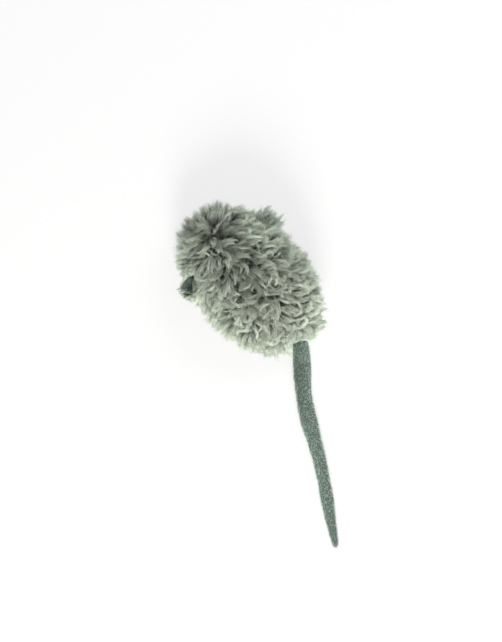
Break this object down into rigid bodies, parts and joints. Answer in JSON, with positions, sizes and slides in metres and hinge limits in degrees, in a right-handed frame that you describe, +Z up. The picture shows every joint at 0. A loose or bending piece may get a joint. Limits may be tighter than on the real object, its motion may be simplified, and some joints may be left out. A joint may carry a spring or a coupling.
{
  "type": "catnip mouse toy",
  "caption": "Small stuffed toy mouse with curly wool pile, two floppy lined ears, a long limp plush tail and a sachet of dried catnip inside.",
  "frame": {"origin": "centre of the flat belly that the mouse rests on, under the middle of the body's length and width", "axes": "+Z up, -Y towards the nose, +Y towards the rump and along the tail, +X towards the mouse's left side"},
  "size_m": [0.0767, 0.152, 0.034],
  "materials": {
    "wool": "curly sage green wool-look pile",
    "plush": "short-pile teal-grey green plush",
    "filling": "off-white polyester fibre filling",
    "sachet": "undyed non-woven cloth",
    "catnip": "dried crumbled leaf",
    "thread": "matt green sewing thread"
  },
  "bodies": {
    "mouse": {"left_side_panel": "wool", "right_side_panel": "wool", "belly_panel": "wool", "stuffing": "filling", "sachet_top": "sachet", "sachet_bottom": "sachet", "catnip": "catnip", "spine_seam_thread": "thread", "belly_seam_thread": "thread", "tail_tab": "plush"},
    "left_ear": {"left_ear_back": "wool", "left_ear_lining": "plush"},
    "right_ear": {"right_ear_back": "wool", "right_ear_lining": "plush"},
    "tail_root": {"tail_root": "plush"},
    "tail_front": {"tail_front": "plush"},
    "tail_end": {"tail_end": "plush"}
  },
  "joints": [
    {"name": "left_ear_fold", "type": "hinge", "parent": "mouse", "child": "left_ear", "pos_m": [0.01887, -0.01201, 0.01597], "axis": [-0.1736, -0.9848, 0], "range_deg": [-45, 45], "stiffness_Nm_per_rad": 0.0003},
    {"name": "right_ear_fold", "type": "hinge", "parent": "mouse", "child": "right_ear", "pos_m": [-0.01887, -0.01201, 0.01597], "axis": [-0.1736, 0.9848, 0], "range_deg": [-45, 45], "stiffness_Nm_per_rad": 0.0003},
    {"name": "tail_swing", "type": "hinge", "parent": "mouse", "child": "tail_root", "pos_m": [0, 0.033, 0.0074], "axis": [0, 0, 1], "range_deg": [-30, 80]},
    {"name": "tail_lift", "type": "hinge", "parent": "tail_root", "child": "tail_front", "pos_m": [0.00734, 0.04474, 0.00235], "axis": [0.7952, -0.6063, 0], "range_deg": [-50, 60]},
    {"name": "tail_bend", "type": "hinge", "parent": "tail_front", "child": "tail_end", "pos_m": [0.02478, 0.07261, 0.00209], "axis": [0, 0, 1], "range_deg": [-75, 75]}
  ]
}
